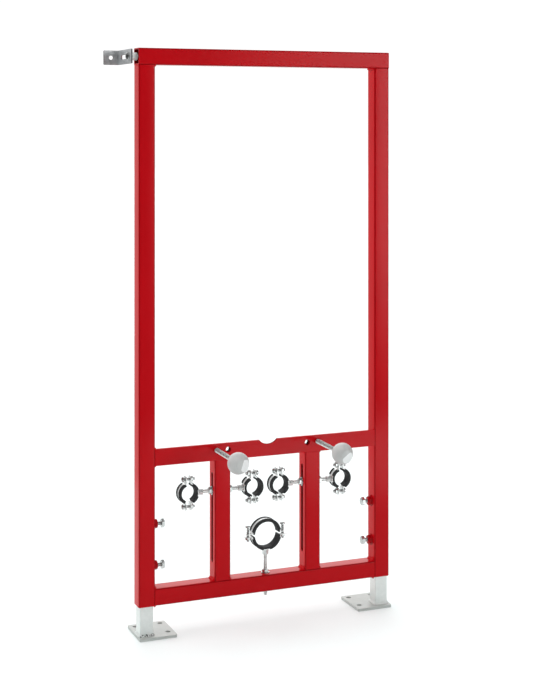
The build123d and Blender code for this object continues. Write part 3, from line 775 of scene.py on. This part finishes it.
bracketBolt = {
    "head": 17 * mm, "headHeight": 5 * mm, "domeSteps": 10, "shank": 8 * mm, "pitch": 1.25 * mm,
    "dome": 0.7, "shankFrom": 0.6,   # of the head's height
    "socket": 8 * mm, "floorHeight": 4.0 * mm, "footHeight": 3.8 * mm, "mouthHeight": 0.35 * mm,
    "foot": 0.97, "domeFrom": 1.05,  # of the socket's radius
    "nut": 14 * mm, "nutBore": 8.2 * mm, "nutPlace": 2 * mm, "nutLength": 13 * mm,
}
low, high = boxOf("bracket_bolt")
start = boxEnd(low, high, 0)
headRadius, headHeight = bracketBolt["head"] / 2, bracketBolt["headHeight"]
sweep = np.linspace(0, turn / 4, bracketBolt["domeSteps"])
dome = np.stack([headRadius * np.sin(sweep), headHeight * bracketBolt["dome"] * (1 - np.cos(sweep))], -1)
socket = bracketBolt["socket"] / math.sqrt(3)
profile = [(0, bracketBolt["floorHeight"]), (bracketBolt["foot"] * socket, bracketBolt["footHeight"]),
           (socket, bracketBolt["mouthHeight"]), *dome[dome[:, 0] > bracketBolt["domeFrom"] * socket],
           (headRadius, headHeight), (0, headHeight)]
inHead = headHeight * bracketBolt["shankFrom"]
shank = threadedBar(bracketBolt["shank"] / 2, bracketBolt["pitch"], high[0] - low[0] - inHead)
shank[..., 2] += inHead
surfaces = [gridSurface(carried(revolved(profile), start, alongX)),
            gridSurface(carried(shank, start, alongX), closed=False)]
makePiece("bracketScrew", surfaces, zinc, "frame", ["bracket_bolt"])
start = boxEnd(*boxOf("bracket_nut"), 0) + bracketBolt["nutPlace"] * alongX
nut = hexSolid(bracketBolt["nut"], 0, bracketBolt["nutLength"], bracketBolt["nutBore"] / 2)
makePiece("bracketLockNut", [gridSurface(carried(nut, start, alongX))], galvanised, "frame", ["bracket_nut"])


# Tubes, plate and bracket: merged copies with broken edges; bends and bevels take a darker tone, a painted shade, and
# inside walls a still darker, dull painted shade

brokenEdge = {
    "width": 0.6 * mm, "segments": 2, "skin": 1.0 * mm,
    "from": 40.0, "flatWithin": 0.2, "crease": 30,  # degrees
    "straight": 0.985,  # cosine to an axis
}


def edgedCopy(name, node, body, face, bend, inside):
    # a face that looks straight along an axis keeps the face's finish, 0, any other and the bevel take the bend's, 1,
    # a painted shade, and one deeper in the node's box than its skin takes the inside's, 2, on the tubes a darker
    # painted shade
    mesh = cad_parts[node].data.copy()
    shape = bmesh.new()
    shape.from_mesh(mesh)
    bmesh.ops.remove_doubles(shape, verts=shape.verts, dist=mergeGap)
    bmesh.ops.dissolve_limit(shape, angle_limit=math.radians(brokenEdge["flatWithin"]), verts=shape.verts,
                             edges=shape.edges)
    shape.to_mesh(mesh)
    shape.free()
    piece = finishPiece(name, mesh, face, body, [node], brokenEdge["crease"])
    mesh.materials.append(bend)
    mesh.materials.append(inside)
    low, high = boxOf(node)
    middles = faceArray(mesh, "center")
    depth = np.minimum(middles - low, high - middles).min(1)
    bent = np.abs(faceArray(mesh, "normal")).max(1) < brokenEdge["straight"]
    setFinishes(mesh, np.where(depth > brokenEdge["skin"], 2, bent))
    bevel = piece.modifiers.new("brokenEdges", "BEVEL")
    bevel.width, bevel.segments = brokenEdge["width"], brokenEdge["segments"]
    bevel.limit_method, bevel.angle_limit = "ANGLE", math.radians(brokenEdge["from"])
    bevel.material, bevel.harden_normals = 1, True
    return mesh


for name, node in (("topRail", "top_rail"), ("bottomRail", "bottom_rail"), ("crossPlate", "cross_plate")):
    edgedCopy(name, node, "frame", red, shadeRed, hollowShadeRed)
for side in sides:
    for part in ("post", "stile"):
        edgedCopy(f"{side}{part.title()}", f"{side}_{part}", "frame", red, shadeRed, hollowShadeRed)
# the bracket's sheared edges, at its top, bottom and two ends, take a near-black zinc, darker than its faces: painted
# shade
mesh = edgedCopy("wallBracket", "wall_bracket", "bracket", bracketZinc, edgeShadeZinc, bracketZinc)
low = boxOf("wall_bracket")[0]
ends = (faceArray(mesh, "center")[:, :2] < low[:2] + brokenEdge["width"]).any(1)
setFinishes(mesh, ends | (np.abs(faceArray(mesh, "normal")[:, 2]) > brokenEdge["straight"]))
print("tubes, plate and bracket edged")


# CAD nodes that stay: their finish only

# the end plate, deep in the rail's open end, takes the hollow's painted shade
finishes = {"rail_end_plate": hollowShadeRed}
for side in sides:
    finishes.update({f"{side}_leg_tube": galvanised, f"{side}_foot_plate": galvanisedPlate})
for node, material in finishes.items():
    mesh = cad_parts[node].data
    mesh.materials.clear()
    mesh.materials.append(material)
print("finishes on", len(finishes), "nodes")


# Floor, light and camera

studio = {
    "floorEnd": 30.0, "paperLow": (-1.4, -1.95), "paperHigh": (2.2, 1.2), "floorCloud": (2.0, 3.0),
    "floorTone": ((0.795, 0.845, 0.845), (0.815, 0.865, 0.865)), "floorRoughness": 0.7, "floorSpecular": 0.2,
    "side": 0.08,  # light from where there is no panel
    # panels round the object: strength, and along each axis the values between which the light fades in
    "panels": {
        "backRight": (1.05, ("Y", 0.55, 0.85), ("X", -0.2, 0.1)),
        "backLeft": (0.8, ("Y", 0.55, 0.85)),
        "backAbove": (2.2, ("Y", 0.4, 0.7), ("Z", 0.1, 0.22), ("X", -0.25, 0.05)),
        "ahead": (0.16, ("Y", -0.6, -0.9)),
        "strip": (7.0, ("X", 0.31, 0.46), ("X", 0.75, 0.58), ("Y", 0.0, -0.4), ("Z", -0.20, -0.08),
                  ("Z", 0.45, 0.25)),
        "ceiling": (0.4, ("Z", 0.35, 0.8)),
    },
    # suns: strength, spread, and how far each is tipped and rolled from straight down
    "suns": {
        "overhead": (1.6, 58.0, (-2, 0)),
        "fromLeft": (2.3, 60.0, (-18, -62)),
        "fromRight": (0.22, 50.0, (62, 14)),
    },
    "pool": 1300.0, "poolPlace": (0.85, -1.4, 3.0), "poolSpread": 26.0, "poolBlend": 1.0,
}
paper, tree, shader = newMaterial("paleFloor", Roughness=studio["floorRoughness"],
                                  Specular_IOR_Level=studio["floorSpecular"])
tone = blendColours(tree, objectNoise(tree, *studio["floorCloud"]), noiseSpan, studio["floorTone"])
tree.links.new(tone, shader.inputs["Base Color"])
# three by three sheets: the middle one shows in the paint's gloss, the ring round it does not
edges = np.array([(-studio["floorEnd"],) * 2, studio["paperLow"], studio["paperHigh"], (studio["floorEnd"],) * 2])
corners = np.zeros((4, 4, 3))
corners[..., 0], corners[..., 1] = np.meshgrid(edges[:, 0], edges[:, 1])
points, sheets = gridSurface(corners, closed=False)
sheets = sheets[:, ::-1]
middle = len(sheets) // 2
for name, chosen in (("floorPaper", sheets[middle:middle + 1]), ("floorAround", np.delete(sheets, middle, 0))):
    floorMesh = bpy.data.meshes.new(name)
    floorMesh.from_pydata(points.tolist(), [], chosen.tolist())
    floorMesh.materials.append(paper)
    floor = bpy.data.objects.new(name, floorMesh)
    floor.visible_glossy = name == "floorPaper"
    bpy.context.scene.collection.objects.link(floor)

world = bpy.data.worlds.new("studio")
world.use_nodes = True
bpy.context.scene.world = world
tree = world.node_tree
sky = tree.nodes["Background"]
sky.inputs["Color"].default_value = (1, 1, 1, 1)
where = addNode(tree, "ShaderNodeTexCoord")
split = addNode(tree, "ShaderNodeSeparateXYZ")
tree.links.new(where.outputs["Generated"], split.inputs["Vector"])
light = studio["side"]
for strength, *fades in studio["panels"].values():
    for axis, start, end in fades:
        ramp = addNode(tree, "ShaderNodeMapRange", interpolation_type="SMOOTHSTEP")
        ramp.inputs["From Min"].default_value = start
        ramp.inputs["From Max"].default_value = end
        tree.links.new(split.outputs[axis], ramp.inputs["Value"])
        strength = joined(tree, "MULTIPLY", strength, ramp.outputs["Result"])
    light = joined(tree, "MAXIMUM", light, strength)
# the backdrop itself is white all round
path = addNode(tree, "ShaderNodeLightPath")
light = joined(tree, "MAXIMUM", light, path.outputs["Is Camera Ray"])
tree.links.new(light, sky.inputs["Strength"])

for name, (energy, spread, (tipped, rolled)) in studio["suns"].items():
    sun = bpy.data.lights.new(name, "SUN")
    sun.energy = energy
    sun.angle = math.radians(spread)
    sun.use_shadow = name == "overhead"
    lamp = bpy.data.objects.new(name, sun)
    lamp.rotation_euler = (math.radians(tipped), math.radians(rolled), 0)
    lamp.visible_glossy = False
    bpy.context.scene.collection.objects.link(lamp)
pool = bpy.data.lights.new("pool", "SPOT")
pool.energy = studio["pool"]
pool.spot_size, pool.spot_blend = math.radians(studio["poolSpread"]), studio["poolBlend"]
lamp = bpy.data.objects.new("pool", pool)
lamp.location = studio["poolPlace"]
lamp.visible_glossy = False
bpy.context.scene.collection.objects.link(lamp)

# the focal length, horizon and middle are in pixels
view = {"yaw": 22.04, "left": 1.1406, "ahead": 2.8249, "above": 0.9887, "focal": 1440.0, "horizon": 124.05,
        "middle": 269.67, "imageWidth": 538, "imageHeight": 700, "sensor": 36.0}
lens = bpy.data.cameras.new("photoLens")
lens.sensor_width = view["sensor"]
lens.lens = view["sensor"] * view["focal"] / view["imageHeight"]
lens.shift_x = (view["imageWidth"] / 2 - view["middle"]) / view["imageHeight"]
lens.shift_y = (view["horizon"] - view["imageHeight"] / 2) / view["imageHeight"]
camera = bpy.data.objects.new("photoCamera", lens)
camera.location = (-view["left"], topLow[1] - view["ahead"], railLow[2] + view["above"])
camera.rotation_euler = (math.radians(90), 0, -math.radians(view["yaw"]))
bpy.context.scene.collection.objects.link(camera)
bpy.context.scene.camera = camera
bpy.context.scene.view_settings.view_transform = "Standard"
print("studio set")
